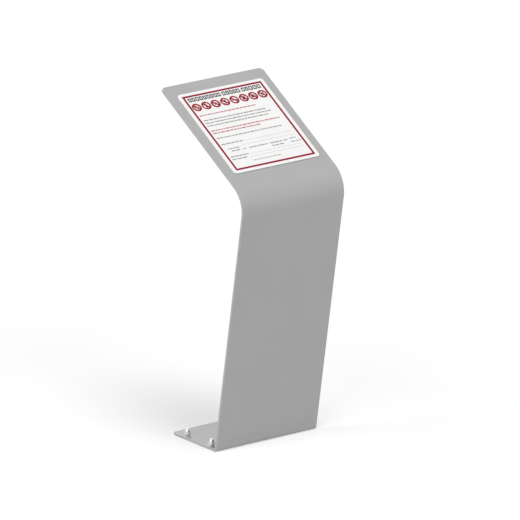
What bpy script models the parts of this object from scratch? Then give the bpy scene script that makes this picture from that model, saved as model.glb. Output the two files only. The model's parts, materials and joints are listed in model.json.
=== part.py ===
"""Folded-plate information board for a park, path or playground.

One steel plate rises from a bolted foot, leans towards the reader and folds
back over a wide bend into a sloping reading panel. A printed sign is bonded to
the panel with strips of foam tape, and four anchor studs with washers and
domed nuts hold the foot to the ground.

Metres, +Z up. The reader stands on the -Y side. The origin is the middle of
the foot's underside, at ground level.
"""

import math

import bmesh
import bpy
from mathutils import Matrix, Vector

# Folded plate: lengths run along its outer face to the sharp corners of the folds
PLATE_WIDTH = 0.400
PLATE_THICKNESS = 0.008
FOOT_DEPTH = 0.233
FOLD_HEIGHT = 0.8706
PANEL_LENGTH = 0.5147
FORWARD_LEAN = math.radians(10.0)
PANEL_SLOPE = math.radians(31.0)
FOOT_BEND_RADIUS = 0.006
TOP_BEND_RADIUS = 0.084
PLATE_CORNER_RADIUS = 0.016
PLATE_EDGE_ROUND = 0.0008

# Sign: a white plastic board with a printed sheet on its face
SIGN_WIDTH = 0.338
SIGN_HEIGHT = 0.359
SIGN_BOARD_THICKNESS = 0.002
SIGN_CORNER_RADIUS = 0.011
SIGN_TOP_MARGIN = 0.046
PRINT_THICKNESS = 0.0003

# Thin foam tape between the sign and the panel, in strips that run down the slope
TAPE_STRIPS = 4
TAPE_WIDTH = 0.019
TAPE_THICKNESS = 0.0004
TAPE_INSET = 0.014

# Ground anchors, M12: places are measured from the foot's front fold and sides
STUD_DIAMETER = 0.012
ANCHOR_SIDE_MARGIN = 0.0145
ANCHOR_FRONT = 0.042
ANCHOR_PITCH = 0.128
ANCHOR_HOLE_CLEARANCE = 0.001
WASHER_DIAMETER = 0.024
WASHER_THICKNESS = 0.0025
WASHER_HOLE_CLEARANCE = 0.0005
NUT_ACROSS_FLATS = 0.019
NUT_HEX_HEIGHT = 0.010
NUT_HEIGHT = 0.022
NUT_DOME_DIAMETER = 0.017
NUT_CROWN_WALL = 0.005
NUT_CHAMFER_ANGLE = math.radians(30.0)
THREAD_CHAMFER = 0.0012
WASHER_EDGE_ROUND = 0.0004

# Clearances
SEAT_GAP = 0.0003
GROUND_GAP = 0.0004
NUT_BORE_END_GAP = 0.0010

# Facets of the round forms
FOOT_BEND_STEPS = 8
TOP_BEND_STEPS = 20
CORNER_STEPS = 8
EDGE_STEPS = 2
ROUND_STEPS = 32
DOME_STEPS = 7


def clear_scene():
    """Remove whatever the scene holds, so that the model starts empty."""
    for item in list(bpy.data.objects):
        bpy.data.objects.remove(item, do_unlink=True)


def make_material(name, colour, roughness, metallic):
    """One plain Principled finish."""
    material = bpy.data.materials.new(name)
    material.use_nodes = True
    shader = material.node_tree.nodes["Principled BSDF"]
    shader.inputs["Base Color"].default_value = (*colour, 1.0)
    shader.inputs["Roughness"].default_value = roughness
    shader.inputs["Metallic"].default_value = metallic
    material.diffuse_color = (*colour, 1.0)
    return material


def add_object(name, mesh, material, location=(0.0, 0.0, 0.0), parent=None):
    """Put a mesh in the scene under the name that its piece goes by."""
    if not mesh.materials:
        mesh.materials.append(material)
    item = bpy.data.objects.new(name, mesh)
    item.location = location
    item.parent = parent
    bpy.context.scene.collection.objects.link(item)
    return item


def mesh_from(bm, name, smooth_angle=None):
    """Turn a bmesh into a mesh whose faces point out."""
    bmesh.ops.recalc_face_normals(bm, faces=bm.faces)
    mesh = bpy.data.meshes.new(name)
    bm.to_mesh(mesh)
    bm.free()
    if smooth_angle is not None:
        mesh.shade_smooth()
        mesh.set_sharp_from_angle(angle=smooth_angle)
    return mesh


def make_cutter(name, mesh):
    """A shape that only cuts or joins another, and is no piece of the board."""
    cutter = bpy.data.objects.new(name, mesh)
    cutter.hide_render = True
    cutter.display_type = "WIRE"
    bpy.context.scene.collection.objects.link(cutter)
    return cutter


def add_boolean(item, cutter, operation):
    """Cut, keep or join with the exact solver."""
    modifier = item.modifiers.new(f"{operation.lower()} {cutter.name}", "BOOLEAN")
    modifier.operation = operation
    modifier.solver = "EXACT"
    modifier.object = cutter


def round_edges(item, width, segments, angle=math.radians(40.0)):
    """Break the sharp edges, and leave the shallow facets of the bends alone."""
    modifier = item.modifiers.new("edge round", "BEVEL")
    modifier.width = width
    modifier.segments = segments
    modifier.limit_method = "ANGLE"
    modifier.angle_limit = angle


# Folded plate


def fold_corners():
    """The outer face's sharp corners as (y, z), from the foot's rear edge to the panel's top edge."""
    foot_front = Vector((-FOOT_DEPTH / 2, 0.0))
    top_fold = foot_front + FOLD_HEIGHT * Vector((-math.tan(FORWARD_LEAN), 1.0))
    slope = Vector((math.cos(PANEL_SLOPE), math.sin(PANEL_SLOPE)))
    return [Vector((FOOT_DEPTH / 2, 0.0)), foot_front, top_fold, top_fold + PANEL_LENGTH * slope]


def right_hand(direction):
    """The side on which both folds close: the foot's top, the upright's back, the panel's underside."""
    return Vector((direction.y, -direction.x))


def bend_points(corner, before, after, inner_radius, depth, steps):
    """One bend on the face that lies `depth` below the outer face."""
    turn = before.angle(after)
    outer_radius = inner_radius + PLATE_THICKNESS
    start = corner - before * outer_radius * math.tan(turn / 2)
    centre = start + right_hand(before) * outer_radius
    arm = -right_hand(before) * (outer_radius - depth)
    points = []
    for step in range(steps + 1):
        angle = -turn * step / steps
        points.append(centre + Matrix.Rotation(angle, 2) @ arm)
    return points


def face_path(depth):
    """The plate's side view on the face that lies `depth` below the outer face."""
    rear, foot_front, top_fold, top_edge = fold_corners()
    runs = [(foot_front - rear), (top_fold - foot_front), (top_edge - top_fold)]
    foot, upright, panel = [run.normalized() for run in runs]
    points = [rear + right_hand(foot) * depth]
    points += bend_points(foot_front, foot, upright, FOOT_BEND_RADIUS, depth, FOOT_BEND_STEPS)
    points += bend_points(top_fold, upright, panel, TOP_BEND_RADIUS, depth, TOP_BEND_STEPS)
    points.append(top_edge + right_hand(panel) * depth)
    return points


def folded_plate_mesh():
    """The side view drawn out across the width, with its four free corners rounded."""
    outer = face_path(0.0)
    inner = face_path(PLATE_THICKNESS)
    bm = bmesh.new()
    left = -PLATE_WIDTH / 2
    side = bm.faces.new([bm.verts.new((left, y, z)) for y, z in outer + inner[::-1]])
    drawn = bmesh.ops.extrude_face_region(bm, geom=[side])
    moved = [item for item in drawn["geom"] if isinstance(item, bmesh.types.BMVert)]
    bmesh.ops.translate(bm, verts=moved, vec=(PLATE_WIDTH, 0.0, 0.0))
    ends = [(outer[0], inner[0]), (outer[-1], inner[-1])]
    corners = [edge for edge in bm.edges if any(joins(edge, end) for end in ends)]
    bmesh.ops.bevel(
        bm,
        geom=corners,
        offset=PLATE_CORNER_RADIUS,
        segments=CORNER_STEPS,
        profile=0.5,
        affect="EDGES",
        material=-1,
    )
    return mesh_from(bm, "bent_plate", smooth_angle=math.radians(30.0))


def joins(edge, end):
    """Whether an edge runs through the plate's thickness at one of its ends."""
    places = [vert.co.yz for vert in edge.verts]
    tolerance = PLATE_THICKNESS / 1000
    return all(min((place - point).length for place in places) < tolerance for point in end)


def anchor_places():
    """Centres of the four anchors on the ground plane."""
    side = PLATE_WIDTH / 2 - ANCHOR_SIDE_MARGIN
    front = -FOOT_DEPTH / 2 + ANCHOR_FRONT
    places = []
    for row, y in (("front", front), ("rear", front + ANCHOR_PITCH)):
        for hand, x in (("left", -side), ("right", side)):
            places.append((f"{row}_{hand}", x, y))
    return places


def add_bent_plate(material):
    """The folded plate with its anchor holes and softened edges."""
    plate = add_object("bent_plate", folded_plate_mesh(), material)
    drills = bmesh.new()
    for _, x, y in anchor_places():
        bmesh.ops.create_cone(
            drills,
            cap_ends=True,
            segments=ROUND_STEPS,
            radius1=STUD_DIAMETER / 2 + ANCHOR_HOLE_CLEARANCE,
            radius2=STUD_DIAMETER / 2 + ANCHOR_HOLE_CLEARANCE,
            depth=PLATE_THICKNESS * 3,
            matrix=Matrix.Translation((x, y, PLATE_THICKNESS / 2)),
        )
    cutter = make_cutter("anchor hole drills", mesh_from(drills, "anchor hole drills"))
    add_boolean(plate, cutter, "DIFFERENCE")
    round_edges(plate, PLATE_EDGE_ROUND, EDGE_STEPS)


# Sign


def add_panel_frame():
    """An empty on the panel's face: X across, Y up the slope, Z out, at the top edge's middle."""
    top_edge = fold_corners()[-1]
    frame = bpy.data.objects.new("panel frame", None)
    frame.location = (0.0, top_edge.x, top_edge.y)
    frame.rotation_euler = (PANEL_SLOPE, 0.0, 0.0)
    bpy.context.scene.collection.objects.link(frame)
    return frame


def rounded_sheet_mesh(name, width, height, thickness, corner_radius):
    """A flat sheet with round corners, its underside on Z = 0 and its middle at the origin."""
    bm = bmesh.new()
    bmesh.ops.create_grid(bm, x_segments=1, y_segments=1, size=0.5)
    bmesh.ops.scale(bm, vec=(width, height, 1.0), verts=bm.verts)
    drawn = bmesh.ops.extrude_face_region(bm, geom=bm.faces[:])
    moved = [item for item in drawn["geom"] if isinstance(item, bmesh.types.BMVert)]
    bmesh.ops.translate(bm, verts=moved, vec=(0.0, 0.0, thickness))
    if corner_radius:
        corners = [edge for edge in bm.edges if edge.verts[0].co.xy == edge.verts[1].co.xy]
        bmesh.ops.bevel(
            bm,
            geom=corners,
            offset=corner_radius,
            segments=CORNER_STEPS,
            profile=0.5,
            affect="EDGES",
            material=-1,
        )
    return mesh_from(bm, name, smooth_angle=math.radians(30.0))


def add_sign(board_material, print_material, tape_material):
    """Foam tape, plastic board and printed sheet, stacked on the panel's face."""
    frame = add_panel_frame()
    centre = -SIGN_TOP_MARGIN - SIGN_HEIGHT / 2
    tape_level = SEAT_GAP
    board_level = tape_level + TAPE_THICKNESS + SEAT_GAP
    print_level = board_level + SIGN_BOARD_THICKNESS + SEAT_GAP
    tape = rounded_sheet_mesh("tape", TAPE_WIDTH, SIGN_HEIGHT - 2 * TAPE_INSET, TAPE_THICKNESS, 0.0)
    reach = SIGN_WIDTH / 2 - TAPE_INSET - TAPE_WIDTH / 2
    for strip in range(TAPE_STRIPS):
        across = reach * (2 * strip / (TAPE_STRIPS - 1) - 1)
        add_object(f"tape_strip_{strip + 1}", tape, tape_material, (across, centre, tape_level), frame)
    board = rounded_sheet_mesh("board", SIGN_WIDTH, SIGN_HEIGHT, SIGN_BOARD_THICKNESS, SIGN_CORNER_RADIUS)
    add_object("sign_board", board, board_material, (0.0, centre, board_level), frame)
    sheet = rounded_sheet_mesh("sheet", SIGN_WIDTH, SIGN_HEIGHT, PRINT_THICKNESS, SIGN_CORNER_RADIUS)
    add_object("printed_sheet", sheet, print_material, (0.0, centre, print_level), frame)


# Ground anchors


def turned_mesh(name, profile, closed):
    """Spin an outline of (radius, height) points round Z."""
    bm = bmesh.new()
    verts = [bm.verts.new((radius, 0.0, height)) for radius, height in profile]
    edges = [bm.edges.new(pair) for pair in zip(verts, verts[1:])]
    if closed:
        edges.append(bm.edges.new((verts[-1], verts[0])))
    bmesh.ops.spin(
        bm,
        geom=verts + edges,
        cent=(0.0, 0.0, 0.0),
        axis=(0.0, 0.0, 1.0),
        angle=math.tau,
        steps=ROUND_STEPS,
        use_merge=True,
    )
    bmesh.ops.remove_doubles(bm, verts=bm.verts, dist=1e-6)
    return mesh_from(bm, name, smooth_angle=math.radians(35.0))


def washer_mesh():
    """A flat washer with its outer edges broken."""
    hole = STUD_DIAMETER / 2 + WASHER_HOLE_CLEARANCE
    rim = WASHER_DIAMETER / 2
    soft = WASHER_EDGE_ROUND
    profile = [
        (hole, 0.0),
        (rim - soft, 0.0),
        (rim, soft),
        (rim, WASHER_THICKNESS - soft),
        (rim - soft, WASHER_THICKNESS),
        (hole, WASHER_THICKNESS),
    ]
    return turned_mesh("washer", profile, closed=True)


def nut_bore_depth():
    """How far the stud's bore reaches into the domed nut."""
    return NUT_HEIGHT - NUT_CROWN_WALL


def stud_mesh(length):
    """The stud's stretch from the ground to inside the nut, chamfered at its top."""
    radius = STUD_DIAMETER / 2
    profile = [
        (0.0, 0.0),
        (radius, 0.0),
        (radius, length - THREAD_CHAMFER),
        (radius - THREAD_CHAMFER, length),
        (0.0, length),
    ]
    return turned_mesh("anchor_stud", profile, closed=False)


def nut_dome_mesh():
    """The nut's crown: a short round neck and a half sphere over it."""
    radius = NUT_DOME_DIAMETER / 2
    spring = NUT_HEIGHT - radius
    profile = [(0.0, NUT_HEX_HEIGHT / 2), (radius, NUT_HEX_HEIGHT / 2)]
    for step in range(DOME_STEPS + 1):
        angle = math.pi / 2 * step / DOME_STEPS
        profile.append((radius * math.cos(angle), spring + radius * math.sin(angle)))
    profile[-1] = (0.0, NUT_HEIGHT)
    return turned_mesh("nut dome", profile, closed=False)


def nut_chamfer_mesh():
    """A turned blank that takes the points off the hexagon at both ends."""
    flat = NUT_ACROSS_FLATS / 2
    point = flat / math.cos(math.pi / 6)
    drop = (point - flat) * math.tan(NUT_CHAMFER_ANGLE)
    outside = point * 1.1
    slant = drop + (outside - point) * math.tan(NUT_CHAMFER_ANGLE)
    profile = [
        (0.0, 0.0),
        (flat, 0.0),
        (outside, slant),
        (outside, NUT_HEX_HEIGHT - slant),
        (flat, NUT_HEX_HEIGHT),
        (0.0, NUT_HEX_HEIGHT),
    ]
    return turned_mesh("nut chamfer", profile, closed=False)


def nut_bore_mesh():
    """The nut's blind bore, with a lead-in where the stud enters."""
    radius = STUD_DIAMETER / 2 + SEAT_GAP
    lead = THREAD_CHAMFER
    profile = [
        (0.0, -lead),
        (radius + 2 * lead, -lead),
        (radius, lead),
        (radius, nut_bore_depth()),
        (0.0, nut_bore_depth()),
    ]
    return turned_mesh("nut bore", profile, closed=False)


def nut_mesh():
    """A domed hexagon nut: chamfered hexagon, crown and blind bore in one body."""
    hexagon = bmesh.new()
    point = NUT_ACROSS_FLATS / 2 / math.cos(math.pi / 6)
    bmesh.ops.create_cone(
        hexagon,
        cap_ends=True,
        segments=6,
        radius1=point,
        radius2=point,
        depth=NUT_HEX_HEIGHT,
        matrix=Matrix.Translation((0.0, 0.0, NUT_HEX_HEIGHT / 2)),
    )
    blank = bpy.data.objects.new("nut blank", mesh_from(hexagon, "nut blank"))
    bpy.context.scene.collection.objects.link(blank)
    steps = (
        ("INTERSECT", nut_chamfer_mesh()),
        ("UNION", nut_dome_mesh()),
        ("DIFFERENCE", nut_bore_mesh()),
    )
    tools = []
    for operation, mesh in steps:
        tools.append(make_cutter(mesh.name, mesh))
        add_boolean(blank, tools[-1], operation)
    mesh = bpy.data.meshes.new_from_object(blank.evaluated_get(bpy.context.evaluated_depsgraph_get()))
    for item in tools + [blank]:
        bpy.data.objects.remove(item, do_unlink=True)
    mesh.name = "domed_nut"
    mesh.shade_smooth()
    mesh.set_sharp_from_angle(angle=math.radians(35.0))
    return mesh


def add_anchors(steel, chrome):
    """Four anchors: stud through the foot, washer on the foot, domed nut on the washer."""
    washer_level = PLATE_THICKNESS + SEAT_GAP
    nut_level = washer_level + WASHER_THICKNESS + SEAT_GAP
    stud_top = nut_level + nut_bore_depth() - NUT_BORE_END_GAP
    stud = stud_mesh(stud_top - GROUND_GAP)
    washer = washer_mesh()
    nut = nut_mesh()
    for place, x, y in anchor_places():
        add_object(f"anchor_stud_{place}", stud, steel, (x, y, GROUND_GAP))
        add_object(f"washer_{place}", washer, steel, (x, y, washer_level))
        add_object(f"domed_nut_{place}", nut, chrome, (x, y, nut_level))


def build():
    """Model the whole board."""
    clear_scene()
    powder_coat = make_material("grey powder coat", (0.42, 0.42, 0.42), 0.55, 0.0)
    board = make_material("white rigid plastic", (0.80, 0.80, 0.79), 0.45, 0.0)
    printed = make_material("printed white sheet", (0.86, 0.86, 0.85), 0.35, 0.0)
    foam = make_material("grey foam tape", (0.12, 0.12, 0.13), 0.90, 0.0)
    zinc = make_material("zinc plated steel", (0.60, 0.61, 0.63), 0.35, 1.0)
    chrome = make_material("bright nickel", (0.80, 0.80, 0.80), 0.12, 1.0)
    add_bent_plate(powder_coat)
    add_sign(board, printed, foam)
    add_anchors(zinc, chrome)


build()
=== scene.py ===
"""Dresses a folded-plate information board: powder coat, bonded sign, print and ground fixings."""

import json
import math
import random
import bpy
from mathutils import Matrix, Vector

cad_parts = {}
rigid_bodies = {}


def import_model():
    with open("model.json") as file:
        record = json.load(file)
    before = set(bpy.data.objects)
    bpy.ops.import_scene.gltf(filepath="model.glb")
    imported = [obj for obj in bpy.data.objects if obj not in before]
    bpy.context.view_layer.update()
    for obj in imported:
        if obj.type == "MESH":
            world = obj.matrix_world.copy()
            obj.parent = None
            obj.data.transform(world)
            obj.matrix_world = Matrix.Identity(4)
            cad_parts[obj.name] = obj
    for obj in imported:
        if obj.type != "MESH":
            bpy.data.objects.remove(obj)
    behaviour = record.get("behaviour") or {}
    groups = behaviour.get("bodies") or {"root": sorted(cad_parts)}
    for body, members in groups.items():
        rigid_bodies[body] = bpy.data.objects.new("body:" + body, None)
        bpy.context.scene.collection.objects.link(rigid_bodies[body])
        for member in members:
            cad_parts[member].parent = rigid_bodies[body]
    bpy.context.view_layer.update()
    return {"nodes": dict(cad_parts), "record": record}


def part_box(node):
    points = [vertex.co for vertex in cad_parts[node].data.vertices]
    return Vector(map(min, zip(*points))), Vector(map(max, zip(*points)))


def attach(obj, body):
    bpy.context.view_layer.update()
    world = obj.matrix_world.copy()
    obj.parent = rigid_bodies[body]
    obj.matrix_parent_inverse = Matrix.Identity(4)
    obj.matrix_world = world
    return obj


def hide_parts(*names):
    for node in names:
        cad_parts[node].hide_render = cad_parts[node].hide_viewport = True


bl_info = {
    "name": "Information Board Dressing",
    "version": (1, 0, 0),
    "blender": (4, 5, 0),
    "location": "View3D > Sidebar > Info Board",
    "description": "Finishes a folded-plate information board, from its powder coat to its anchor nuts",
    "category": "Object",
}

import bmesh
import bpy
from bpy.props import FloatProperty, FloatVectorProperty, IntProperty, PointerProperty
from mathutils import Matrix, Vector

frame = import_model()

BODY = "root"
IMAGE_SIDE = 520
SENSOR_WIDTH = 36.0
ANCHORS = ("front_left", "front_right", "rear_left", "rear_right")
MM = 0.001
SHARP_EDGE = math.radians(35.0)
SAME_POINT = 0.01 * MM
LATHE_STEPS = 64
PRINT_SEED = 11

# The title's words: start and end from the sheet's left side in millimetres, and number of blocks
TITLE_WORDS = ((27, 153, 9), (160, 230, 5), (237, 311, 5))

# The text's lines: ink, share of the text's height, drop from the sheet's top, start and end from its
# left side, with the last three in millimetres
TEXT_LINES = (
    ("warning", 1.0, 102, 26, 246),
    ("grey", 1.0, 124.5, 27, 272),
    ("grey", 1.0, 136.5, 27, 284),
    ("grey", 1.0, 149, 27, 267),
    ("warning", 1.0, 171.5, 27, 299),
    ("warning", 1.0, 183, 27, 216),
    ("grey", 1.0, 205.5, 27, 286),
    ("grey", 1.0, 233.5, 27, 116),
    ("grey", 1.0, 256, 41, 85),
    ("grey", 1.0, 267, 46, 80),
    ("grey", 1.0, 267, 92, 103),
    ("grey", 1.0, 267, 116, 190),
    ("grey", 1.0, 267, 198, 246),
    ("grey", 1.0, 267, 252, 268),
    ("blue", 1.0, 264.5, 275, 300),
    ("grey", 1.0, 279, 199, 246),
    ("blue", 1.0, 279, 273, 311),
    ("grey", 1.0, 290.5, 27, 98),
    ("grey", 1.0, 302, 27, 88),
    ("grey", 0.6, 320.5, 96, 206),
)

# The dotted writing lines: drop from the sheet's top and start from its left side, in millimetres
DOTTED_LINES = ((235, 120), (250, 98), (292, 106), (304, 98))


# What a user can change


class PlateSettings(bpy.types.PropertyGroup):
    """Sizes and finish of the folded plate."""

    thickness: FloatProperty(
        name="Thickness", description="Thickness of the steel plate", default=8 * MM, unit="LENGTH"
    )
    forward_lean: FloatProperty(
        name="Forward Lean",
        description="How far the upright leans towards the reader",
        default=math.radians(10.0),
        subtype="ANGLE",
    )
    panel_slope: FloatProperty(
        name="Panel Slope",
        description="Slope of the reading panel above level",
        default=math.radians(31.0),
        subtype="ANGLE",
    )
    fold_height: FloatProperty(
        name="Fold Height",
        description="Height of the sharp corner between upright and panel",
        default=870.6 * MM,
        unit="LENGTH",
    )
    panel_length: FloatProperty(
        name="Panel Length",
        description="Length of the panel from that sharp corner to its top edge",
        default=514.7 * MM,
        unit="LENGTH",
    )
    foot_bend: FloatProperty(
        name="Foot Bend Radius",
        description="Inner radius of the bend at the foot",
        default=6 * MM,
        unit="LENGTH",
    )
    top_bend: FloatProperty(
        name="Top Bend Radius",
        description="Inner radius of the bend at the top",
        default=84 * MM,
        unit="LENGTH",
    )
    corner_radius: FloatProperty(
        name="Corner Radius",
        description="Radius of the plate's free corners",
        default=16 * MM,
        unit="LENGTH",
    )
    edge_round: FloatProperty(
        name="Edge Round", description="Radius of the coated edges", default=0.8 * MM, unit="LENGTH"
    )
    hole_diameter: FloatProperty(
        name="Hole Diameter",
        description="Diameter of the anchor holes in the foot",
        default=14 * MM,
        unit="LENGTH",
    )
    colour: FloatVectorProperty(
        name="Coat Colour",
        description="Colour of the powder coat",
        size=3,
        subtype="COLOR",
        default=(0.405, 0.405, 0.405),
    )
    roughness: FloatProperty(
        name="Coat Roughness", description="Roughness of the powder coat", default=0.50, subtype="FACTOR"
    )


class SignSettings(bpy.types.PropertyGroup):
    """Sizes and inks of the bonded sign."""

    corner_radius: FloatProperty(
        name="Corner Radius", description="Radius of the sign's corners", default=11 * MM, unit="LENGTH"
    )
    ink_height: FloatProperty(
        name="Ink Height",
        description="How far the print stands off its sheet",
        default=0.1 * MM,
        unit="LENGTH",
    )
    side_inset: FloatProperty(
        name="Side Inset",
        description="Distance from the sheet's sides to the frame line",
        default=13.1 * MM,
        unit="LENGTH",
    )
    end_inset: FloatProperty(
        name="End Inset",
        description="Distance from the sheet's top and bottom to the frame line",
        default=11.2 * MM,
        unit="LENGTH",
    )
    line_width: FloatProperty(
        name="Line Width", description="Width of the frame line", default=7.3 * MM, unit="LENGTH"
    )
    ring_count: IntProperty(
        name="Rings",
        description="Number of prohibition rings in the row",
        default=8,
        min=2,
    )
    ring_diameter: FloatProperty(
        name="Ring Diameter",
        description="Outer diameter of a prohibition ring",
        default=34 * MM,
        unit="LENGTH",
    )
    ring_stroke: FloatProperty(
        name="Ring Stroke", description="Width of a ring and of its bar", default=6.0 * MM, unit="LENGTH"
    )
    ring_drop: FloatProperty(
        name="Ring Drop",
        description="Distance from the sheet's top edge to the rings' centres",
        default=64.6 * MM,
        unit="LENGTH",
    )
    ring_margin: FloatProperty(
        name="Ring Margin",
        description="Distance from the sheet's sides to the row of rings",
        default=22.3 * MM,
        unit="LENGTH",
    )
    title_drop: FloatProperty(
        name="Title Drop",
        description="Distance from the sheet's top edge to the middle of the title blocks",
        default=30.8 * MM,
        unit="LENGTH",
    )
    title_height: FloatProperty(
        name="Title Height", description="Height of the title blocks", default=16.5 * MM, unit="LENGTH"
    )
    title_stroke: FloatProperty(
        name="Title Stroke",
        description="Width of the title blocks' outline",
        default=3.8 * MM,
        unit="LENGTH",
    )
    text_height: FloatProperty(
        name="Text Height", description="Height of the text bars", default=4.4 * MM, unit="LENGTH"
    )
    dots_margin: FloatProperty(
        name="Dots Margin",
        description="Distance from the sheet's right side to the end of the dotted lines",
        default=30 * MM,
        unit="LENGTH",
    )
    paper: FloatVectorProperty(
        name="Sheet Colour",
        description="Colour of the blank sheet",
        size=3,
        subtype="COLOR",
        default=(0.885, 0.88, 0.875),
    )
    frame_red: FloatVectorProperty(
        name="Frame Ink",
        description="Ink of the frame line",
        size=3,
        subtype="COLOR",
        default=(0.27, 0.002, 0.018),
    )
    ring_red: FloatVectorProperty(
        name="Ring Ink",
        description="Ink of the prohibition rings",
        size=3,
        subtype="COLOR",
        default=(0.32, 0.004, 0.016),
    )
    warning: FloatVectorProperty(
        name="Warning Ink",
        description="Ink of the warning lines",
        size=3,
        subtype="COLOR",
        default=(0.49, 0.13, 0.19),
    )
    dark: FloatVectorProperty(
        name="Dark Ink",
        description="Ink of title and pictures",
        size=3,
        subtype="COLOR",
        default=(0.034, 0.040, 0.034),
    )
    grey: FloatVectorProperty(
        name="Grey Ink",
        description="Ink of the body lines",
        size=3,
        subtype="COLOR",
        default=(0.32, 0.32, 0.32),
    )
    blue: FloatVectorProperty(
        name="Blue Ink",
        description="Ink of a few marked words",
        size=3,
        subtype="COLOR",
        default=(0.42, 0.39, 0.54),
    )


class FixingSettings(bpy.types.PropertyGroup):
    """Sizes and finish of studs, washers and nuts."""

    across_flats: FloatProperty(
        name="Across Flats", description="Width of the nut across its flats", default=19 * MM, unit="LENGTH"
    )
    hex_height: FloatProperty(
        name="Hexagon Height", description="Height of the nut's hexagon", default=10 * MM, unit="LENGTH"
    )
    slant_start: FloatProperty(
        name="Slant Start",
        description="Where the hexagon's slanted ends start, as a share of the flats' distance from the axis",
        default=0.96,
        subtype="FACTOR",
    )
    dome_diameter: FloatProperty(
        name="Dome Diameter", description="Diameter of the nut's dome", default=17 * MM, unit="LENGTH"
    )
    bore_diameter: FloatProperty(
        name="Bore Diameter",
        description="Diameter of the nut's blind bore",
        default=12.6 * MM,
        unit="LENGTH",
    )
    bore_depth: FloatProperty(
        name="Bore Depth", description="Depth of the nut's blind bore", default=17 * MM, unit="LENGTH"
    )
    bore_chamfer: FloatProperty(
        name="Bore Chamfer",
        description="Depth of the slant at the bore's mouth",
        default=1.2 * MM,
        unit="LENGTH",
    )
    washer_hole: FloatProperty(
        name="Washer Hole", description="Diameter of the washer's hole", default=13 * MM, unit="LENGTH"
    )
    washer_roll: FloatProperty(
        name="Washer Roll", description="Radius of the washer's upper rim", default=0.5 * MM, unit="LENGTH"
    )
    thread_pitch: FloatProperty(
        name="Thread Pitch", description="Pitch of the stud's thread", default=1.75 * MM, unit="LENGTH"
    )
    thread_depth: FloatProperty(
        name="Thread Depth", description="Depth of the stud's thread", default=1.0 * MM, unit="LENGTH"
    )
    bright: FloatVectorProperty(
        name="Bright Metal",
        description="Colour of the domed nuts",
        size=3,
        subtype="COLOR",
        default=(0.64, 0.64, 0.64),
    )
    zinc: FloatVectorProperty(
        name="Zinc",
        description="Colour of washers and studs",
        size=3,
        subtype="COLOR",
        default=(0.60, 0.61, 0.63),
    )


class StageSettings(bpy.types.PropertyGroup):
    """Camera, light and floor."""

    azimuth: FloatProperty(
        name="Azimuth",
        description="How far the camera stands to the left of the front",
        default=math.radians(37.08),
        subtype="ANGLE",
    )
    elevation: FloatProperty(
        name="Elevation",
        description="Camera height as an angle",
        default=math.radians(17.03),
        subtype="ANGLE",
    )
    distance: FloatProperty(
        name="Distance", description="Distance from the camera to its aim", default=30.91, unit="LENGTH"
    )
    aim: FloatVectorProperty(
        name="Aim",
        description="Point that stands in the middle of the picture",
        size=3,
        subtype="TRANSLATION",
        default=(0.0194, -0.0583, 0.5834),
    )
    pixels_per_metre: FloatProperty(
        name="Scale", description="Pixels that one metre covers at the aim", default=315.5
    )
    ambient: FloatProperty(name="Ambient", description="Strength of the surrounding light", default=0.15)
    top_key: FloatProperty(
        name="Top Key", description="Strength of the steep lamp, in watts per square metre", default=1.04
    )
    front_fill: FloatProperty(
        name="Front Fill",
        description="Strength of the lamp in front, in watts per square metre",
        default=0.68,
    )
    left_fill: FloatProperty(
        name="Left Fill",
        description="Strength of the wide lamp on the left, in watts per square metre",
        default=2.0,
    )
    rear_rim: FloatProperty(
        name="Rear Rim",
        description="Strength of the low lamp behind on the right, in watts per square metre",
        default=0.49,
    )
    floor_bounce: FloatProperty(
        name="Floor Bounce", description="Share of the light that the floor throws back", default=0.80
    )
    floor_tone: FloatProperty(
        name="Floor Tone",
        description="Share of the light that the seen floor takes from the lamps",
        default=0.74,
    )
    floor_lift: FloatProperty(
        name="Floor Lift",
        description="White that the seen floor adds, so that it is white where unshaded",
        default=0.318,
    )
    floor_side: FloatProperty(
        name="Floor Side",
        description="Side of the square floor",
        default=80.0,
        unit="LENGTH",
    )


# Mesh helpers


def to_mesh(bm, name):
    """A mesh from a bmesh that isn't needed any more."""
    mesh = bpy.data.meshes.new(name)
    bm.to_mesh(mesh)
    bm.free()
    return mesh


def new_piece_from_mesh(name, mesh, material, replaces=()):
    """Link a mesh as a piece that rides on the board and stands for the nodes it is given."""
    mesh.shade_smooth()
    mesh.set_sharp_from_angle(angle=SHARP_EDGE)
    mesh.materials.clear()
    mesh.materials.append(material)
    piece = bpy.data.objects.new(name, mesh)
    bpy.context.scene.collection.objects.link(piece)
    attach(piece, BODY)
    if replaces:
        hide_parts(*replaces)
    return piece


def new_piece(name, bm, place, material, replaces=()):
    """Turn a bmesh's faces outwards, put it in its place and link it as a piece."""
    bmesh.ops.recalc_face_normals(bm, faces=bm.faces)
    bmesh.ops.transform(bm, matrix=place, verts=bm.verts)
    return new_piece_from_mesh(name, to_mesh(bm, name), material, replaces)


def round_edges(piece, width, angle):
    """Round a finished piece's edges that are sharper than an angle."""
    edge = piece.modifiers.new("edge round", "BEVEL")
    edge.width = width
    edge.segments = 2
    edge.limit_method = "ANGLE"
    edge.angle_limit = angle
    return edge


def bevel_edges(bm, edges, offset, segments):
    """Round the given edges."""
    bmesh.ops.bevel(
        bm, geom=edges, offset=offset, segments=segments, profile=0.5, affect="EDGES", material=-1
    )


def draw_out(bm, faces, vector):
    """Draw faces out along a vector, keep their underside, and return the points that moved."""
    drawn = bmesh.ops.extrude_face_region(bm, geom=faces)
    moved = [item for item in drawn["geom"] if isinstance(item, bmesh.types.BMVert)]
    bmesh.ops.translate(bm, verts=moved, vec=vector)
    return moved


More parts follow.
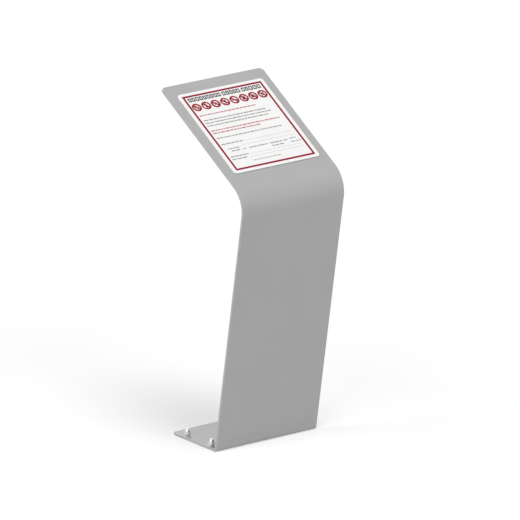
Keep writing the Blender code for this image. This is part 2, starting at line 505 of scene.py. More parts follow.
def flat_rectangle(bm, wide, tall, place):
    """Add a flat rectangle round the origin, put it in its place and return its face."""
    # Its size is half of its side, so this is a unit square
    made = bmesh.ops.create_grid(bm, x_segments=1, y_segments=1, size=0.5)
    bmesh.ops.scale(bm, vec=(wide, tall, 1.0), verts=made["verts"])
    bmesh.ops.transform(bm, matrix=place, verts=made["verts"])
    return made["verts"][0].link_faces[0]


def rounded_slab(bm, size, place, radius, segments):
    """Add a flat slab with round corners, whose underside lies in its place."""
    face = flat_rectangle(bm, size.x, size.y, place)
    moved = draw_out(bm, [face], (0.0, 0.0, size.z))
    corners = [edge for vert in moved for edge in vert.link_edges if edge.other_vert(vert) not in moved]
    bevel_edges(bm, corners, radius, segments)


def prism(bm, sides, radius, length, centre):
    """Add an upright prism with a number of sides, or a cylinder, round its centre."""
    bmesh.ops.create_cone(
        bm,
        cap_ends=True,
        segments=sides,
        radius1=radius,
        radius2=radius,
        depth=length,
        matrix=Matrix.Translation(centre),
    )


def turned(profile, steps=LATHE_STEPS, closed=False):
    """Spin an outline of (radius, height) points round Z into a closed body."""
    bm = bmesh.new()
    verts = [bm.verts.new((radius, 0.0, height)) for radius, height in profile]
    edges = [bm.edges.new(pair) for pair in zip(verts, verts[1:])]
    if closed:
        edges.append(bm.edges.new((verts[-1], verts[0])))
    bmesh.ops.spin(
        bm,
        geom=verts + edges,
        cent=(0.0, 0.0, 0.0),
        axis=(0.0, 0.0, 1.0),
        angle=math.tau,
        steps=steps,
        use_merge=True,
    )
    bmesh.ops.remove_doubles(bm, verts=bm.verts, dist=SAME_POINT)
    return bm


def cut_and_join(name, blank, steps):
    """Apply exact Booleans one after another, and return the mesh that they leave."""
    linked = bpy.context.scene.collection.objects
    bmesh.ops.recalc_face_normals(blank, faces=blank.faces)
    worked = bpy.data.objects.new(name, to_mesh(blank, name))
    linked.link(worked)
    helpers = []
    for operation, tool in steps:
        bmesh.ops.recalc_face_normals(tool, faces=tool.faces)
        helper = bpy.data.objects.new(f"{name} tool", to_mesh(tool, f"{name} tool"))
        linked.link(helper)
        helpers.append(helper)
        modifier = worked.modifiers.new("cut", "BOOLEAN")
        modifier.operation = operation
        modifier.solver = "EXACT"
        modifier.object = helper
    result = worked.evaluated_get(bpy.context.evaluated_depsgraph_get())
    mesh = bpy.data.meshes.new_from_object(result)
    for item in helpers + [worked]:
        bpy.data.objects.remove(item, do_unlink=True)
    return mesh


# Material helpers


def new_material(name, colour, roughness, metallic=0.0):
    """A Principled material with its uniform values on the shader's own sockets."""
    material = bpy.data.materials.new(name)
    material.use_nodes = True
    tree = material.node_tree
    shader = tree.nodes["Principled BSDF"]
    shader.inputs["Base Color"].default_value = (*colour, 1.0)
    shader.inputs["Roughness"].default_value = roughness
    shader.inputs["Metallic"].default_value = metallic
    return material, tree, shader


def object_noise(tree, scale, detail=2.0):
    """Noise on Object coordinates, with a scale in features per metre."""
    coordinates = tree.nodes.new("ShaderNodeTexCoord")
    noise = tree.nodes.new("ShaderNodeTexNoise")
    noise.inputs["Scale"].default_value = scale
    noise.inputs["Detail"].default_value = detail
    tree.links.new(coordinates.outputs["Object"], noise.inputs["Vector"])
    return noise.outputs["Fac"]


def spread(tree, value, low=0.0, high=1.0, from_low=0.3, from_high=0.7):
    """Map a noise value to a range."""
    node = tree.nodes.new("ShaderNodeMapRange")
    node.inputs["From Min"].default_value = from_low
    node.inputs["From Max"].default_value = from_high
    node.inputs["To Min"].default_value = low
    node.inputs["To Max"].default_value = high
    tree.links.new(value, node.inputs["Value"])
    return node.outputs["Result"]


def scaled(colour, factor):
    """A colour made darker or lighter."""
    return tuple(min(1.0, channel * factor) for channel in colour)


def vary_colour(tree, shader, colour, value, at_low, at_high):
    """Let the base colour drift between two shares of itself as a value goes from 0 to 1."""
    mix = tree.nodes.new("ShaderNodeMix")
    mix.data_type = "RGBA"
    mix.inputs["A"].default_value = (*scaled(colour, at_low), 1.0)
    mix.inputs["B"].default_value = (*scaled(colour, at_high), 1.0)
    tree.links.new(value, mix.inputs["Factor"])
    tree.links.new(mix.outputs["Result"], shader.inputs["Base Color"])


def vary_roughness(tree, shader, value, low, high):
    """Let the roughness drift between two values."""
    tree.links.new(spread(tree, value, low, high), shader.inputs["Roughness"])


def bump(tree, shader, height, strength, distance):
    """Raise the surface's shading by a height value."""
    node = tree.nodes.new("ShaderNodeBump")
    node.inputs["Strength"].default_value = strength
    node.inputs["Distance"].default_value = distance
    tree.links.new(height, node.inputs["Height"])
    tree.links.new(node.outputs["Normal"], shader.inputs["Normal"])


def powder_coat(settings):
    """Sprayed and baked powder: fine orange peel, faint cloudiness, uneven sheen."""
    material, tree, shader = new_material("powder coat", settings.colour, settings.roughness)
    clouds = spread(tree, object_noise(tree, scale=5.0, detail=4.0))
    vary_colour(tree, shader, settings.colour, clouds, at_low=0.985, at_high=1.015)
    sheen, drift = object_noise(tree, scale=60.0, detail=3.0), 0.03
    vary_roughness(tree, shader, sheen, settings.roughness - drift, settings.roughness + drift)
    bump(tree, shader, object_noise(tree, scale=900.0, detail=1.5), strength=0.25, distance=0.05 * MM)
    return material


def ink(name, colour):
    """Matt screen ink: slightly uneven cover."""
    material, tree, shader = new_material(name, colour, roughness=0.6)
    shader.inputs["Specular IOR Level"].default_value = 0.15
    cover = spread(tree, object_noise(tree, scale=400.0))
    vary_colour(tree, shader, colour, cover, at_low=0.92, at_high=1.10)
    return material


def printed_film(settings):
    """White film under a satin laminate: faint waves and a hair of grain."""
    material, tree, shader = new_material("printed film", settings.paper, roughness=0.5)
    tone = spread(tree, object_noise(tree, scale=18.0))
    vary_colour(tree, shader, settings.paper, tone, at_low=0.99, at_high=1.01)
    bump(tree, shader, object_noise(tree, scale=700.0, detail=1.0), strength=0.08, distance=0.03 * MM)
    return material


def white_plastic():
    """Extruded white board: a soft sheen with faint rolling waves."""
    colour = (0.80, 0.80, 0.79)
    material, tree, shader = new_material("white plastic", colour, roughness=0.45)
    tone = spread(tree, object_noise(tree, scale=40.0))
    vary_colour(tree, shader, colour, tone, at_low=1.0, at_high=0.97)
    bump(tree, shader, object_noise(tree, scale=300.0, detail=1.0), strength=0.05, distance=0.03 * MM)
    return material


def foam_tape():
    """Closed-cell foam: small cells over a dark tone, with painted shade darkening each cell's hollow."""
    colour = (0.12, 0.12, 0.13)
    material, tree, shader = new_material("foam tape", colour, roughness=0.9)
    coordinates = tree.nodes.new("ShaderNodeTexCoord")
    cells = tree.nodes.new("ShaderNodeTexVoronoi")
    cells.inputs["Scale"].default_value = 2500.0
    tree.links.new(coordinates.outputs["Object"], cells.inputs["Vector"])
    # Painted shade: each cell's hollow, where the bump sinks, is coloured darker and its rim lighter
    depth = spread(tree, cells.outputs["Distance"], from_low=0.0)
    vary_colour(tree, shader, colour, depth, at_low=0.6, at_high=1.3)
    bump(tree, shader, cells.outputs["Distance"], strength=0.5, distance=0.1 * MM)
    return material


def bright_metal(settings):
    """Polished nut: faint handling marks in the gloss."""
    material, tree, shader = new_material("bright metal", settings.bright, roughness=0.12, metallic=1.0)
    vary_roughness(tree, shader, object_noise(tree, scale=900.0, detail=4.0), low=0.08, high=0.20)
    tone = spread(tree, object_noise(tree, scale=250.0))
    vary_colour(tree, shader, settings.bright, tone, at_low=1.0, at_high=0.93)
    return material


def zinc_plate(settings):
    """Zinc plating: mottled sheen and tone."""
    material, tree, shader = new_material("zinc plate", settings.zinc, roughness=0.35, metallic=1.0)
    mottle = object_noise(tree, scale=700.0, detail=3.0)
    vary_roughness(tree, shader, mottle, low=0.28, high=0.48)
    vary_colour(tree, shader, settings.zinc, spread(tree, mottle), at_low=0.85, at_high=1.08)
    bump(tree, shader, mottle, strength=0.1, distance=0.02 * MM)
    return material


# Folded plate


def right_hand(direction):
    """The side on which both folds close."""
    return Vector((direction.y, -direction.x))


def bend_points(corner, before, after, inner_radius, thickness, depth, steps):
    """One bend, as (y, z) points on the face that lies `depth` below the outer face."""
    turn = before.angle(after)
    outer_radius = inner_radius + thickness
    start = corner - before * outer_radius * math.tan(turn / 2)
    centre = start + right_hand(before) * outer_radius
    arm = -right_hand(before) * (outer_radius - depth)
    return [centre + Matrix.Rotation(-turn * step / steps, 2) @ arm for step in range(steps + 1)]


def plate_side(settings, front, rear, depth):
    """The plate's side view on the face that lies `depth` below the outer face."""
    foot_front = Vector((front, 0.0))
    top_fold = foot_front + settings.fold_height * Vector((-math.tan(settings.forward_lean), 1.0))
    slope = Vector((math.cos(settings.panel_slope), math.sin(settings.panel_slope)))
    corners = [Vector((rear, 0.0)), foot_front, top_fold, top_fold + settings.panel_length * slope]
    foot, upright, panel = [(b - a).normalized() for a, b in zip(corners, corners[1:])]
    points = [corners[0] + right_hand(foot) * depth]
    points += bend_points(corners[1], foot, upright, settings.foot_bend, settings.thickness, depth, steps=8)
    points += bend_points(corners[2], upright, panel, settings.top_bend, settings.thickness, depth, steps=48)
    points.append(corners[3] + right_hand(panel) * depth)
    return points


def foot_half_depth(settings):
    """Half the depth of the foot, read from the plate's lowest points."""
    node = frame["nodes"]["bent_plate"]
    return max(vert.co.y for vert in node.data.vertices if vert.co.z < settings.thickness / 2)


def runs_between(edge, first, second):
    """Whether an edge runs through the plate's thickness between two points of its side view."""
    places = [vert.co.yz for vert in edge.verts]
    return all(min((place - point).length for place in places) < SAME_POINT for point in (first, second))


def anchor_drills(settings):
    """One drill for each anchor hole, which sticks out of the foot on both sides."""
    drills = bmesh.new()
    for anchor in ANCHORS:
        centre, _, _ = anchor_axis(anchor)
        middle = (centre.x, centre.y, settings.thickness / 2)
        prism(drills, LATHE_STEPS, settings.hole_diameter / 2, 3 * settings.thickness, middle)
    return drills


class INFOBOARD_OT_plate(bpy.types.Operator):
    """Fold the plate out of its side view and coat it"""

    bl_idname = "infoboard.plate"
    bl_label = "Folded Plate"

    def execute(self, context):
        settings = context.scene.infoboard_plate
        low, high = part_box("bent_plate")
        rear = foot_half_depth(settings)
        outer = plate_side(settings, -rear, rear, 0.0)
        inner = plate_side(settings, -rear, rear, settings.thickness)
        bm = bmesh.new()
        side = bm.faces.new([bm.verts.new((low.x, y, z)) for y, z in outer + inner[::-1]])
        draw_out(bm, [side], (high.x - low.x, 0.0, 0.0))
        ends = [(outer[0], inner[0]), (outer[-1], inner[-1])]
        free = [edge for edge in bm.edges if any(runs_between(edge, *end) for end in ends)]
        bevel_edges(bm, free, settings.corner_radius, segments=16)
        mesh = cut_and_join("plate", bm, [("DIFFERENCE", anchor_drills(settings))])
        coat = powder_coat(settings)
        piece = new_piece_from_mesh("coated_plate", mesh, coat, ["bent_plate"])
        edge = round_edges(piece, settings.edge_round, math.radians(40.0))
        edge.use_clamp_overlap = False
        edge.harden_normals = True
        return {"FINISHED"}


# Sign


def sheet_frame():
    """A frame in the middle of the printed sheet's face: X across, Y up the slope, Z out of it."""
    mount = [item for item in frame["record"]["mounts"] if item["name"] == "notice_face"][0]
    out = Vector(mount["axis"]).normalized()
    across = Vector((1.0, 0.0, 0.0))
    up = out.cross(across)
    matrix = Matrix((across, up, out)).transposed().to_4x4()
    matrix.translation = Vector(mount["pos_m"])
    low, high = local_box(matrix, "printed_sheet")
    middle = (low + high) / 2
    return matrix @ Matrix.Translation((middle.x, middle.y, high.z))


def local_box(matrix, node):
    """Lowest and highest corner of a node in a frame of its own."""
    inverse = matrix.inverted()
    places = [inverse @ vert.co for vert in frame["nodes"][node].data.vertices]
    low = Vector([min(place[axis] for place in places) for axis in range(3)])
    high = Vector([max(place[axis] for place in places) for axis in range(3)])
    return low, high


class INFOBOARD_OT_sign(bpy.types.Operator):
    """Cut the white board and the printed sheet on it"""

    bl_idname = "infoboard.sign"
    bl_label = "Sign Board and Sheet"

    def execute(self, context):
        settings = context.scene.infoboard_sign
        place = sheet_frame()
        pieces = (
            ("sign_board_white", "sign_board", white_plastic(), "white_plastic_board"),
            ("sign_sheet", "printed_sheet", printed_film(settings), "printed_sheet"),
        )
        for name, node, material, slot in pieces:
            low, high = local_box(place, node)
            middle = (low + high) / 2
            underside = Matrix.Translation((middle.x, middle.y, low.z))
            bm = bmesh.new()
            rounded_slab(bm, high - low, underside, settings.corner_radius, segments=12)
            new_piece(name, bm, place, material, [node])
        return {"FINISHED"}


# Print


def flat_outline(bm, centre, wide, tall, stroke, height):
    """Add a flat rectangular outline of an even stroke."""
    inner = flat_rectangle(bm, wide, tall, Matrix.Translation(centre))
    rim = bmesh.ops.inset_region(bm, faces=[inner], thickness=stroke, use_boundary=True, use_even_offset=True)
    bmesh.ops.delete(bm, geom=[inner], context="FACES_ONLY")
    draw_out(bm, rim["faces"], (0.0, 0.0, height))


def flat_bar(bm, centre, length, width, height, turn=0.0, round_ends=0.35):
    """Add a flat bar with softened corners, lying along X before it is turned."""
    place = Matrix.Translation(centre) @ Matrix.Rotation(turn, 4, "Z")
    rounding = min(length, width) * round_ends
    rounded_slab(bm, Vector((length, width, height)), place, rounding, segments=2)


def flat_disc(bm, centre, radius, height, sides=32, turn=0.0, hole=0.0):
    """Add a flat disc, ring or regular polygon."""
    place = Matrix.Translation(centre) @ Matrix.Rotation(turn, 4, "Z")
    made = bmesh.ops.create_circle(bm, cap_ends=True, segments=sides, radius=radius, matrix=place)
    faces = [made["verts"][0].link_faces[0]]
    if hole:
        rim = bmesh.ops.inset_region(
            bm, faces=faces, thickness=radius - hole, use_boundary=True, use_even_offset=True
        )
        bmesh.ops.delete(bm, geom=faces, context="FACES_ONLY")
        faces = rim["faces"]
    draw_out(bm, faces, (0.0, 0.0, height))


class INFOBOARD_OT_frame_line(bpy.types.Operator):
    """Print the dark red line that frames the notice"""

    bl_idname = "infoboard.frame_line"
    bl_label = "Frame Line"

    def execute(self, context):
        settings = context.scene.infoboard_sign
        place = sheet_frame()
        low, high = local_box(place, "printed_sheet")
        wide = high.x - low.x - 2 * settings.side_inset
        tall = high.y - low.y - 2 * settings.end_inset
        bm = bmesh.new()
        flat_outline(bm, Vector(), wide, tall, settings.line_width, settings.ink_height)
        new_piece("print_frame_line", bm, place, ink("frame ink", settings.frame_red))
        return {"FINISHED"}


def beside(at, across, up):
    """A point beside another one on the sheet."""
    return at + Vector((across, up, 0.0))


def draw_ball(bm, at, height):
    """A ball."""
    outside, inside, patch = 9 * MM, 6.8 * MM, 3.4 * MM
    flat_disc(bm, at, outside, height, hole=inside)
    flat_disc(bm, at, patch, height, sides=5)


def draw_bottle(bm, at, height):
    """A bottle."""
    body_wide, body_tall, body_drop = 8 * MM, 14 * MM, 2.5 * MM
    neck_wide, neck_tall, neck_rise = 3.4 * MM, 6.4 * MM, 7.6 * MM
    flat_bar(bm, beside(at, 0.0, -body_drop), body_wide, body_tall, height)
    flat_bar(bm, beside(at, 0.0, neck_rise), neck_wide, neck_tall, height, round_ends=0.1)


def draw_cycle(bm, at, height):
    """A two-wheeler."""
    tyre, rim, axle, axle_drop = 5.2 * MM, 3.2 * MM, 6.6 * MM, 2 * MM
    tube, stroke, tube_rise = 13 * MM, 2.2 * MM, 4.4 * MM
    for side in (-1, 1):
        flat_disc(bm, beside(at, side * axle, -axle_drop), tyre, height, hole=rim)
    flat_bar(bm, beside(at, 0.0, tube_rise), tube, stroke, height, turn=math.radians(12.0))


def draw_fire(bm, at, height):
    """A camp fire drawn as a plain triangle on a log."""
    flame, flame_rise = 9 * MM, 1 * MM
    log, stroke, log_drop = 17 * MM, 2.8 * MM, 7 * MM
    flat_disc(bm, beside(at, 0.0, flame_rise), flame, height, sides=3, turn=math.radians(90.0))
    flat_bar(bm, beside(at, 0.0, -log_drop), log, stroke, height)


def draw_roll(bm, at, height):
    """A smoking roll."""
    body, ember, thick = 14 * MM, 4 * MM, 4.4 * MM
    body_shift, ember_shift = 2.4 * MM, 8 * MM
    flat_bar(bm, beside(at, -body_shift, 0.0), body, thick, height, round_ends=0.1)
    flat_bar(bm, beside(at, ember_shift, 0.0), ember, thick, height, round_ends=0.1)


def draw_box(bm, at, height):
    """A litter box."""
    side, drop = 12 * MM, 2 * MM
    lid, stroke, lid_rise = 16 * MM, 2.8 * MM, 6.4 * MM
    flat_bar(bm, beside(at, 0.0, -drop), side, side, height, round_ends=0.12)
    flat_bar(bm, beside(at, 0.0, lid_rise), lid, stroke, height)


def draw_cup(bm, at, height):
    """A cup."""
    wide, tall, shift = 11 * MM, 13 * MM, 2 * MM
    handle, finger_hole, handle_shift, handle_rise = 4 * MM, 2 * MM, 6 * MM, 0.5 * MM
    flat_bar(bm, beside(at, -shift, 0.0), wide, tall, height, round_ends=0.2)
    flat_disc(bm, beside(at, handle_shift, handle_rise), handle, height, hole=finger_hole)


def draw_steps(bm, at, height):
    """A ladder."""
    rail, rail_wide, rail_shift = 18 * MM, 2.4 * MM, 5.4 * MM
    rung, rung_tall, rung_pitch = 8.4 * MM, 2.2 * MM, 5 * MM
    for side in (-1, 1):
        flat_bar(bm, beside(at, side * rail_shift, 0.0), rail_wide, rail, height, round_ends=0.1)
    for step in (-1, 0, 1):
        flat_bar(bm, beside(at, 0.0, step * rung_pitch), rung, rung_tall, height, round_ends=0.1)


def ring_centres(settings, low, high):
    """Centres of the prohibition rings, evenly spread between the ring margins."""
    first = low.x + settings.ring_margin + settings.ring_diameter / 2
    last = -first
    y = high.y - settings.ring_drop
    count = settings.ring_count
    return [Vector((first + (last - first) * index / (count - 1), y, 0.0)) for index in range(count)]


class INFOBOARD_OT_symbols(bpy.types.Operator):
    """Print a row of prohibition rings over plain signs of things kept out"""

    bl_idname = "infoboard.symbols"
    bl_label = "Prohibition Rings"

    def execute(self, context):
        settings = context.scene.infoboard_sign
        place = sheet_frame()
        low, high = local_box(place, "printed_sheet")
        drawings = (draw_ball, draw_bottle, draw_cycle, draw_fire, draw_roll, draw_box, draw_cup, draw_steps)
        things = bmesh.new()
        rings = bmesh.new()
        bars = bmesh.new()
        radius = settings.ring_diameter / 2
        inner = radius - settings.ring_stroke
        bar_length = 2 * radius - settings.ring_stroke
        falling = math.radians(-45.0)
        over = 2 * settings.ink_height
        for index, centre in enumerate(ring_centres(settings, low, high)):
            drawings[index % len(drawings)](things, centre, settings.ink_height)
            flat_disc(rings, centre, radius, over, sides=48, hole=inner)
            flat_bar(bars, centre, bar_length, settings.ring_stroke, over, turn=falling, round_ends=0.05)
        new_piece("print_things", things, place, ink("dark ink", settings.dark))
        mesh = cut_and_join("rings", rings, [("UNION", bars)])
        mesh.transform(place)
        new_piece_from_mesh("print_rings", mesh, ink("ring ink", settings.ring_red))
        return {"FINISHED"}


def title_blocks(bm, generator, left, middle, settings):
    """Set hollow blocks of a capital's size in the title's place, without letters."""
    gap = 2.6 * MM
    for start, end, count in TITLE_WORDS:
        shares = [generator.uniform(0.85, 1.15) for _ in range(count)]
        room = (end - start) * MM - gap * (count - 1)
        cursor = left + start * MM
        for share in shares:
            wide = room * share / sum(shares)
            centre = Vector((cursor + wide / 2, middle, 0.0))
            flat_outline(bm, centre, wide, settings.title_height, settings.title_stroke, settings.ink_height)
            cursor += wide + gap


def words(bm, generator, left, right, y, size, height):
    """Fill a line with word-long bars, from left to right."""
    shortest, longest, space, least_room = 5 * MM, 18 * MM, 2.4 * MM, 3 * MM
    cursor = left
    while cursor < right - least_room:
        length = min(generator.uniform(shortest, longest), right - cursor)
        flat_bar(bm, Vector((cursor + length / 2, y, 0.0)), length, size, height, round_ends=0.2)
        cursor += length + space


def dots(bm, left, right, y, height):
    """A dotted writing line."""
    pitch, wide, tall = 3.2 * MM, 1.8 * MM, 1.5 * MM
    for index in range(int((right - left) / pitch)):
        flat_bar(bm, Vector((left + pitch * index, y, 0.0)), wide, tall, height)


class INFOBOARD_OT_text_blocks(bpy.types.Operator):
    """Print hollow blocks and bars in place of title and text"""

    bl_idname = "infoboard.text_blocks"
    bl_label = "Title and Text Blocks"

    def execute(self, context):
        settings = context.scene.infoboard_sign
        place = sheet_frame()
        low, high = local_box(place, "printed_sheet")
        generator = random.Random(PRINT_SEED)
        height = settings.ink_height
        inks = {
            "dark": settings.dark,
            "grey": settings.grey,
            "warning": settings.warning,
            "blue": settings.blue,
        }
        layers = {name: bmesh.new() for name in inks}
        title_blocks(layers["dark"], generator, low.x, high.y - settings.title_drop, settings)
        for name, share, drop, start, end in TEXT_LINES:
            left, right = low.x + start * MM, low.x + end * MM
            tall = share * settings.text_height
            words(layers[name], generator, left, right, high.y - drop * MM, tall, height)
        for drop, start in DOTTED_LINES:
            left, right = low.x + start * MM, high.x - settings.dots_margin
            dots(layers["grey"], left, right, high.y - drop * MM, height)
        for name, bm in layers.items():
            material = bpy.data.materials.get(f"{name} ink") or ink(f"{name} ink", inks[name])
            new_piece(f"print_{name}_blocks", bm, place, material)
        return {"FINISHED"}


class INFOBOARD_OT_tapes(bpy.types.Operator):
    """Give the foam tape strips their cells"""

    bl_idname = "infoboard.tapes"
    bl_label = "Foam Tape"

    def execute(self, context):
        material = foam_tape()
        for name, node in frame["nodes"].items():
            if name.startswith("tape_strip"):
                node.data.materials.clear()
                node.data.materials.append(material)
        return {"FINISHED"}


# Ground fixings


def anchor_axis(anchor):
    """Centre of an anchor's washer seat, with the levels of the nut's seat and top."""
    washer_low, washer_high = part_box(f"washer_{anchor}")
    nut_low, nut_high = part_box(f"domed_nut_{anchor}")
    centre = (washer_low + washer_high) / 2
    return Vector((centre.x, centre.y, washer_low.z)), nut_low.z, nut_high.z


def washer_profile(settings, rim, thick):
    """Outline of a washer with a rolled upper rim and its other edges broken."""
    hole, roll, burr = settings.washer_hole / 2, settings.washer_roll, 0.2 * MM
    roll_steps = 6
    profile = [(hole, burr), (hole, thick - burr), (hole + burr, thick)]
    for step in range(roll_steps + 1):
        angle = math.pi / 2 * (1 - step / roll_steps)
        profile.append((rim - roll + roll * math.cos(angle), thick - roll + roll * math.sin(angle)))
    return profile + [(rim, burr), (rim - burr, 0.0), (hole + burr, 0.0)]


class INFOBOARD_OT_washers(bpy.types.Operator):
    """Turn the washers with rolled edges"""

    bl_idname = "infoboard.washers"
    bl_label = "Washers"

    def execute(self, context):
        settings = context.scene.infoboard_fixings
        material = zinc_plate(settings)
        for anchor in ANCHORS:
            low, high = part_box(f"washer_{anchor}")
            bm = turned(washer_profile(settings, (high.x - low.x) / 2, high.z - low.z), closed=True)
            centre, _, _ = anchor_axis(anchor)
            place = Matrix.Translation(centre)
            new_piece(f"washer_turned_{anchor}", bm, place, material, [f"washer_{anchor}"])
        return {"FINISHED"}


def nut_profile(settings, height):
    """Outline of the nut, from the end of its bore, round its seat and hexagon, to the top of its dome."""
    bore, depth, slant = settings.bore_diameter / 2, settings.bore_depth, settings.bore_chamfer
    flat, shoulder = settings.across_flats / 2, settings.hex_height
    rim, dome = flat * settings.slant_start, settings.dome_diameter / 2
    dome_steps = 14
    points = [(0.0, depth), (bore, depth), (bore, slant), (bore + slant, 0.0)]
    points += [(rim, 0.0), (2 * flat, 0.0), (2 * flat, shoulder), (rim, shoulder), (dome, shoulder)]
    for step in range(dome_steps):
        angle = math.pi / 2 * step / dome_steps
        points.append((dome * math.cos(angle), height - dome + dome * math.sin(angle)))
    return points + [(0.0, height)]


def press_hexagon(bm, settings):
    """Bring the outermost points in to a hexagon that is slanted at both ends, most at its corners."""
    flat = settings.across_flats / 2
    slant = math.tan(math.radians(30.0))
    for vert in bm.verts:
        if vert.co.xy.length < 1.5 * flat:
            continue
        off_flat = (math.atan2(vert.co.y, vert.co.x) + math.pi / 6) % (math.pi / 3) - math.pi / 6
        reach = flat / math.cos(off_flat)
        fall = (reach - flat * settings.slant_start) * slant
        vert.co.z += fall if vert.co.z < settings.hex_height / 2 else -fall
        vert.co.xy = vert.co.xy.normalized() * reach


class INFOBOARD_OT_nuts(bpy.types.Operator):
    """Make the bright domed nuts"""

    bl_idname = "infoboard.nuts"
    bl_label = "Domed Nuts"

    def execute(self, context):
        settings = context.scene.infoboard_fixings
        material = bright_metal(settings)
        for anchor in ANCHORS:
            centre, seat, top = anchor_axis(anchor)
            bm = turned(nut_profile(settings, top - seat), steps=72)
            press_hexagon(bm, settings)
            place = Matrix.Translation((centre.x, centre.y, seat))
            name, nodes = f"nut_polished_{anchor}", [f"domed_nut_{anchor}"]
            piece = new_piece(name, bm, place, material, nodes)
            round_edges(piece, 0.25 * MM, math.radians(25.0))
        return {"FINISHED"}


def threaded_rod(settings, radius, length):
    """A rod whose points are pushed in along a helix, and tapered near the top."""
    rings_per_pitch = 6
    taper_length, taper_depth = 1.2 * MM, 1 * MM
    rings = round(length / settings.thread_pitch * rings_per_pitch)
    profile = [(radius, length * ring / rings) for ring in range(rings + 1)]
    bm = turned([(0.0, 0.0), *profile, (0.0, length)], steps=24)
    for vert in bm.verts:
        reach = vert.co.xy.length
        if reach < radius / 2:
            continue
        turn = math.atan2(vert.co.y, vert.co.x) / math.tau
        phase = (vert.co.z / settings.thread_pitch - turn) % 1.0
        groove = 1.0 - abs(2.0 * phase - 1.0)
        taper = 1.0 - min(1.0, (length - vert.co.z) / taper_length)
        target = radius - settings.thread_depth * groove - taper_depth * taper
        vert.co.xy = vert.co.xy * (target / reach)
    return bm


class INFOBOARD_OT_studs(bpy.types.Operator):
    """Cut the threads of the anchor studs"""

    bl_idname = "infoboard.studs"
    bl_label = "Threaded Studs"

    def execute(self, context):
        settings = context.scene.infoboard_fixings
        material = zinc_plate(settings)
        for anchor in ANCHORS:
            low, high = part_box(f"anchor_stud_{anchor}")
            bm = threaded_rod(settings, (high.x - low.x) / 2, high.z - low.z)
            middle = (low + high) / 2
            place = Matrix.Translation((middle.x, middle.y, low.z))
            name, nodes = f"stud_threaded_{anchor}", [f"anchor_stud_{anchor}"]
            new_piece(name, bm, place, material, nodes)
        return {"FINISHED"}


# Stage


def direction_to(azimuth, elevation):
    """Unit vector to a place at an angle to the left of the front and above level."""
    level = math.cos(elevation)
    return Vector((-math.sin(azimuth) * level, -math.cos(azimuth) * level, math.sin(elevation)))


def add_camera(settings):
    """A long-lens camera at the photograph's angle."""
    data = bpy.data.cameras.new("camera")
    data.sensor_width = SENSOR_WIDTH
    data.lens = settings.pixels_per_metre * settings.distance * SENSOR_WIDTH / IMAGE_SIDE
    data.clip_end = 4 * settings.distance
    camera = bpy.data.objects.new("camera", data)
    right = Vector((math.cos(settings.azimuth), -math.sin(settings.azimuth), 0.0))
    back = direction_to(settings.azimuth, settings.elevation)
    matrix = Matrix((right, back.cross(right), back)).transposed().to_4x4()
    matrix.translation = Vector(settings.aim) + back * settings.distance
    camera.matrix_world = matrix
    bpy.context.scene.collection.objects.link(camera)
    bpy.context.scene.camera = camera


def add_soft_lamp(name, strength, azimuth, elevation, width):
    """A wide soft lamp far off. Its place, as in direction_to, and its width are in degrees."""
    data = bpy.data.lights.new(name, "SUN")
    data.energy = strength
    data.angle = math.radians(width)
    lamp = bpy.data.objects.new(name, data)
    towards = direction_to(math.radians(azimuth), math.radians(elevation))
    lamp.rotation_euler = (-towards).to_track_quat("-Z", "Y").to_euler()
    bpy.context.scene.collection.objects.link(lamp)


def larger(tree, first, second):
    """The larger of two values."""
    node = tree.nodes.new("ShaderNodeMath")
    node.operation = "MAXIMUM"
    tree.links.new(first, node.inputs[0])
    tree.links.new(second, node.inputs[1])
    return node.outputs[0]


def white_to_camera(tree, shader, white, sink):
    """Show a clean white to camera, mirror and glass rays, and the shader to all others."""
    path = tree.nodes.new("ShaderNodeLightPath")
    seen = larger(tree, path.outputs["Is Camera Ray"], path.outputs["Is Glossy Ray"])
    seen = larger(tree, seen, path.outputs["Is Transmission Ray"])
    mix = tree.nodes.new("ShaderNodeMixShader")
    tree.links.new(seen, mix.inputs["Fac"])
    tree.links.new(shader, mix.inputs[1])
    tree.links.new(white, mix.inputs[2])
    tree.links.new(mix.outputs[0], sink)


def add_world(settings):
    """Even light from all round, seen as plain white."""
    world = bpy.data.worlds.new("studio")
    bpy.context.scene.world = world
    world.use_nodes = True
    tree = world.node_tree
    light = tree.nodes["Background"]
    white = tree.nodes.new("ShaderNodeBackground")
    for node, strength in ((light, settings.ambient), (white, 1.0)):
        node.inputs["Strength"].default_value = strength
        node.inputs["Color"].default_value = (1.0, 1.0, 1.0, 1.0)
    white_to_camera(tree, light.outputs[0], white.outputs[0], tree.nodes["World Output"].inputs["Surface"])


def floor_material(settings):
    """A matt floor that takes soft shadows and is white elsewhere."""
    material = bpy.data.materials.new("floor")
    material.use_nodes = True
    tree = material.node_tree
    tree.nodes.remove(tree.nodes["Principled BSDF"])
    plain = tree.nodes.new("ShaderNodeBsdfDiffuse")
    seen = tree.nodes.new("ShaderNodeBsdfDiffuse")
    for node, tone in ((plain, settings.floor_bounce), (seen, settings.floor_tone)):
        node.inputs["Color"].default_value = (tone, tone, tone, 1.0)
    lift = tree.nodes.new("ShaderNodeEmission")
    lift.inputs["Strength"].default_value = settings.floor_lift
    both = tree.nodes.new("ShaderNodeAddShader")
    tree.links.new(seen.outputs[0], both.inputs[0])
    tree.links.new(lift.outputs[0], both.inputs[1])
    white_to_camera(tree, plain.outputs[0], both.outputs[0], tree.nodes["Material Output"].inputs["Surface"])
    return material


def add_floor(settings):
    """A wide flat floor under the board."""
    bm = bmesh.new()
    flat_rectangle(bm, settings.floor_side, settings.floor_side, Matrix())
    floor = bpy.data.objects.new("floor", to_mesh(bm, "floor"))
    floor.data.materials.append(floor_material(settings))
    bpy.context.scene.collection.objects.link(floor)


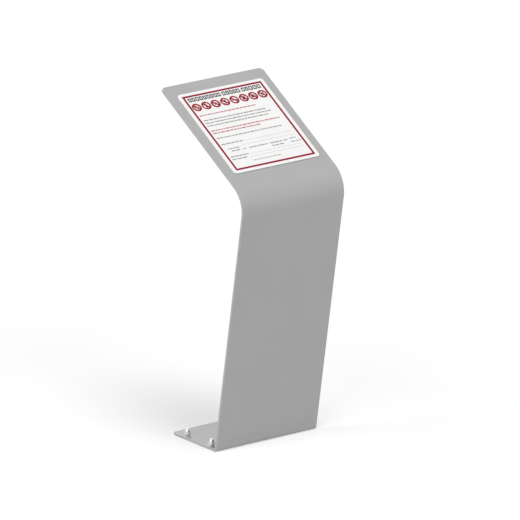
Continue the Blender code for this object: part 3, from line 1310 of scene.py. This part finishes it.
class INFOBOARD_OT_stage(bpy.types.Operator):
    """Set the floor, the light and the camera"""

    bl_idname = "infoboard.stage"
    bl_label = "Stage"

    def execute(self, context):
        settings = context.scene.infoboard_stage
        context.scene.view_settings.view_transform = "Standard"
        add_floor(settings)
        add_world(settings)
        add_soft_lamp("top key", settings.top_key, azimuth=0.0, elevation=75.0, width=30.0)
        add_soft_lamp("front fill", settings.front_fill, azimuth=0.0, elevation=35.0, width=30.0)
        add_soft_lamp("left fill", settings.left_fill, azimuth=80.0, elevation=30.0, width=70.0)
        add_soft_lamp("rear rim", settings.rear_rim, azimuth=-143.0, elevation=17.0, width=30.0)
        add_camera(settings)
        return {"FINISHED"}


# Panel and registration


class INFOBOARD_PT_sidebar(bpy.types.Panel):
    """The board's settings and steps"""

    bl_label = "Information Board"
    bl_idname = "INFOBOARD_PT_sidebar"
    bl_space_type = "VIEW_3D"
    bl_region_type = "UI"
    bl_category = "Info Board"

    def draw(self, context):
        layout = self.layout
        for group in SETTINGS:
            settings = getattr(context.scene, group)
            box = layout.box()
            box.label(text=group.replace("infoboard_", "").title())
            for name in settings.bl_rna.properties.keys():
                if name not in ("rna_type", "name"):
                    box.prop(settings, name)
        for operator in STEPS:
            layout.operator(operator.bl_idname)


STEPS = (
    INFOBOARD_OT_stage,
    INFOBOARD_OT_plate,
    INFOBOARD_OT_sign,
    INFOBOARD_OT_frame_line,
    INFOBOARD_OT_symbols,
    INFOBOARD_OT_text_blocks,
    INFOBOARD_OT_tapes,
    INFOBOARD_OT_washers,
    INFOBOARD_OT_nuts,
    INFOBOARD_OT_studs,
)
SETTINGS = {
    "infoboard_plate": PlateSettings,
    "infoboard_sign": SignSettings,
    "infoboard_fixings": FixingSettings,
    "infoboard_stage": StageSettings,
}
CLASSES = (*SETTINGS.values(), *STEPS, INFOBOARD_PT_sidebar)


def register():
    """Make the settings, steps and panel known to Blender."""
    for item in CLASSES:
        bpy.utils.register_class(item)
    for name, group in SETTINGS.items():
        setattr(bpy.types.Scene, name, PointerProperty(type=group))


def unregister():
    """Take them away again."""
    for name in SETTINGS:
        delattr(bpy.types.Scene, name)
    for item in reversed(CLASSES):
        bpy.utils.unregister_class(item)


def main():
    """Run every step in order."""
    register()
    bpy.ops.infoboard.stage()
    bpy.ops.infoboard.plate()
    bpy.ops.infoboard.sign()
    bpy.ops.infoboard.frame_line()
    bpy.ops.infoboard.symbols()
    bpy.ops.infoboard.text_blocks()
    bpy.ops.infoboard.tapes()
    bpy.ops.infoboard.washers()
    bpy.ops.infoboard.nuts()
    bpy.ops.infoboard.studs()
    bpy.context.view_layer.update()


if __name__ == "__main__":
    main()
